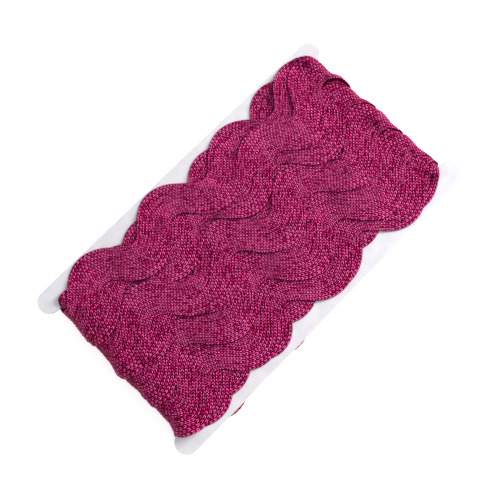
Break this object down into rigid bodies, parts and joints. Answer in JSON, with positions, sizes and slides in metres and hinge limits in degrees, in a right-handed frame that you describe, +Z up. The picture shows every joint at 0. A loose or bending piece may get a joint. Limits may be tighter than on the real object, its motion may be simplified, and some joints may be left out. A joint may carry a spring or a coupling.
{
  "type": "card-wound roll of ric rac trimming",
  "caption": "Flat roll of wide wavy metallic ric rac braid wound lengthwise round a thin white card whose notched ends leave rounded corner tabs.",
  "frame": {"origin": "on the surface the roll lies on, under the middle of its box", "axes": "+Z up, square to the card; X along the card, which is also the way the braid is wound; Y across it"},
  "size_m": [0.2112, 0.1176, 0.0145],
  "materials": {
    "card": "smooth cool white sheet plastic",
    "braid": "ribbed braid of magenta metallic thread"
  },
  "bodies": {
    "root": {"card": "card", "winding": "braid"}
  },
  "joints": []
}
